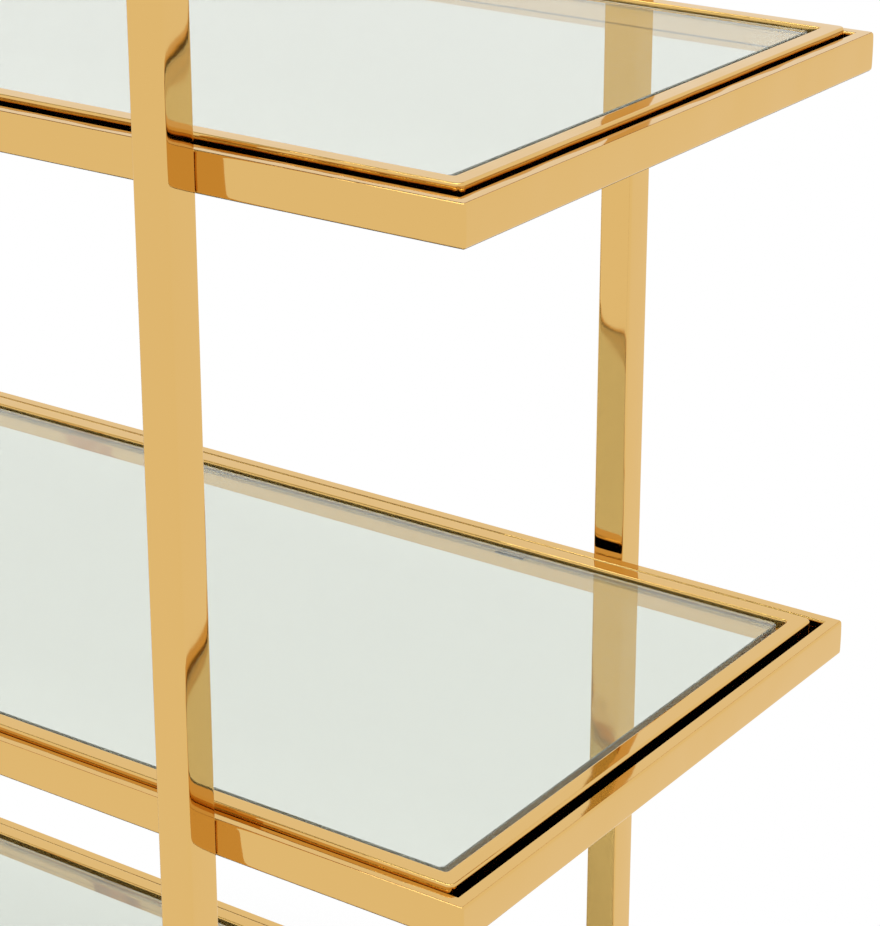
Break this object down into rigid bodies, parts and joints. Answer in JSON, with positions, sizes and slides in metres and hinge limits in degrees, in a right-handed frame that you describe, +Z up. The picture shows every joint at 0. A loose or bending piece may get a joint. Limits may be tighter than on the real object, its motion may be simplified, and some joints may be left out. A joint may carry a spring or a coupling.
{
  "type": "etagere",
  "caption": "Open display etagere with square gold-coloured metal posts and framed clear glass shelves that drop in.",
  "frame": {"origin": "on the floor, under the middle of the shelves", "axes": "+X along the shelves to the right, +Y to the rear, +Z up"},
  "size_m": [1, 0.41, 1.7735],
  "materials": {
    "gold_steel": "gold-coloured mirror polish",
    "clear_glass": "clear polished float glass",
    "clear_silicone": "clear silicone",
    "zinc_steel": "bright zinc plate",
    "black_nylon": "fine moulded grain"
  },
  "bodies": {
    "frame": {"post_front_left": "gold_steel", "post_front_right": "gold_steel", "post_rear_left": "gold_steel", "post_rear_right": "gold_steel", "post_caps": "gold_steel", "foot_inserts": "black_nylon", "shelf_1_front_rail": "gold_steel", "shelf_1_rear_rail": "gold_steel", "shelf_1_left_rail": "gold_steel", "shelf_1_right_rail": "gold_steel", "shelf_2_front_rail": "gold_steel", "shelf_2_rear_rail": "gold_steel", "shelf_2_left_rail": "gold_steel", "shelf_2_right_rail": "gold_steel", "shelf_3_front_rail": "gold_steel", "shelf_3_rear_rail": "gold_steel", "shelf_3_left_rail": "gold_steel", "shelf_3_right_rail": "gold_steel", "shelf_4_front_rail": "gold_steel", "shelf_4_rear_rail": "gold_steel", "shelf_4_left_rail": "gold_steel", "shelf_4_right_rail": "gold_steel", "shelf_5_front_rail": "gold_steel", "shelf_5_rear_rail": "gold_steel", "shelf_5_left_rail": "gold_steel", "shelf_5_right_rail": "gold_steel", "shelf_6_front_rail": "gold_steel", "shelf_6_rear_rail": "gold_steel", "shelf_6_left_rail": "gold_steel", "shelf_6_right_rail": "gold_steel", "shelf_screws": "zinc_steel", "rivet_nuts": "zinc_steel", "tray_rests": "gold_steel", "tray_bumpers": "clear_silicone"},
    "tray_1": {"shelf_1_tray_frame": "gold_steel", "shelf_1_glass_pads": "clear_silicone"},
    "pane_1": {"shelf_1_glass": "clear_glass"},
    "tray_2": {"shelf_2_tray_frame": "gold_steel", "shelf_2_glass_pads": "clear_silicone"},
    "pane_2": {"shelf_2_glass": "clear_glass"},
    "tray_3": {"shelf_3_tray_frame": "gold_steel", "shelf_3_glass_pads": "clear_silicone"},
    "pane_3": {"shelf_3_glass": "clear_glass"},
    "tray_4": {"shelf_4_tray_frame": "gold_steel", "shelf_4_glass_pads": "clear_silicone"},
    "pane_4": {"shelf_4_glass": "clear_glass"},
    "tray_5": {"shelf_5_tray_frame": "gold_steel", "shelf_5_glass_pads": "clear_silicone"},
    "pane_5": {"shelf_5_glass": "clear_glass"},
    "tray_6": {"shelf_6_tray_frame": "gold_steel", "shelf_6_glass_pads": "clear_silicone"},
    "pane_6": {"shelf_6_glass": "clear_glass"},
    "foot_front_left": {"foot_stud_front_left": "zinc_steel", "foot_glide_front_left": "black_nylon"},
    "foot_front_right": {"foot_stud_front_right": "zinc_steel", "foot_glide_front_right": "black_nylon"},
    "foot_rear_left": {"foot_stud_rear_left": "zinc_steel", "foot_glide_rear_left": "black_nylon"},
    "foot_rear_right": {"foot_stud_rear_right": "zinc_steel", "foot_glide_rear_right": "black_nylon"}
  },
  "joints": [
    {"name": "tray_1_lift", "type": "slide", "parent": "frame", "child": "tray_1", "axis": [0, 0, 1], "range_m": [0, 0.06]},
    {"name": "pane_1_lift", "type": "slide", "parent": "tray_1", "child": "pane_1", "axis": [0, 0, 1], "range_m": [0, 0.04]},
    {"name": "tray_2_lift", "type": "slide", "parent": "frame", "child": "tray_2", "axis": [0, 0, 1], "range_m": [0, 0.06]},
    {"name": "pane_2_lift", "type": "slide", "parent": "tray_2", "child": "pane_2", "axis": [0, 0, 1], "range_m": [0, 0.04]},
    {"name": "tray_3_lift", "type": "slide", "parent": "frame", "child": "tray_3", "axis": [0, 0, 1], "range_m": [0, 0.06]},
    {"name": "pane_3_lift", "type": "slide", "parent": "tray_3", "child": "pane_3", "axis": [0, 0, 1], "range_m": [0, 0.04]},
    {"name": "tray_4_lift", "type": "slide", "parent": "frame", "child": "tray_4", "axis": [0, 0, 1], "range_m": [0, 0.06]},
    {"name": "pane_4_lift", "type": "slide", "parent": "tray_4", "child": "pane_4", "axis": [0, 0, 1], "range_m": [0, 0.04]},
    {"name": "tray_5_lift", "type": "slide", "parent": "frame", "child": "tray_5", "axis": [0, 0, 1], "range_m": [0, 0.06]},
    {"name": "pane_5_lift", "type": "slide", "parent": "tray_5", "child": "pane_5", "axis": [0, 0, 1], "range_m": [0, 0.04]},
    {"name": "tray_6_lift", "type": "slide", "parent": "frame", "child": "tray_6", "axis": [0, 0, 1], "range_m": [0, 0.06]},
    {"name": "pane_6_lift", "type": "slide", "parent": "tray_6", "child": "pane_6", "axis": [0, 0, 1], "range_m": [0, 0.04]},
    {"name": "foot_front_left_height", "type": "slide", "parent": "frame", "child": "foot_front_left", "axis": [0, 0, -1], "range_m": [0, 0.01]},
    {"name": "foot_front_right_height", "type": "slide", "parent": "frame", "child": "foot_front_right", "axis": [0, 0, -1], "range_m": [0, 0.01]},
    {"name": "foot_rear_left_height", "type": "slide", "parent": "frame", "child": "foot_rear_left", "axis": [0, 0, -1], "range_m": [0, 0.01]},
    {"name": "foot_rear_right_height", "type": "slide", "parent": "frame", "child": "foot_rear_right", "axis": [0, 0, -1], "range_m": [0, 0.01]}
  ]
}
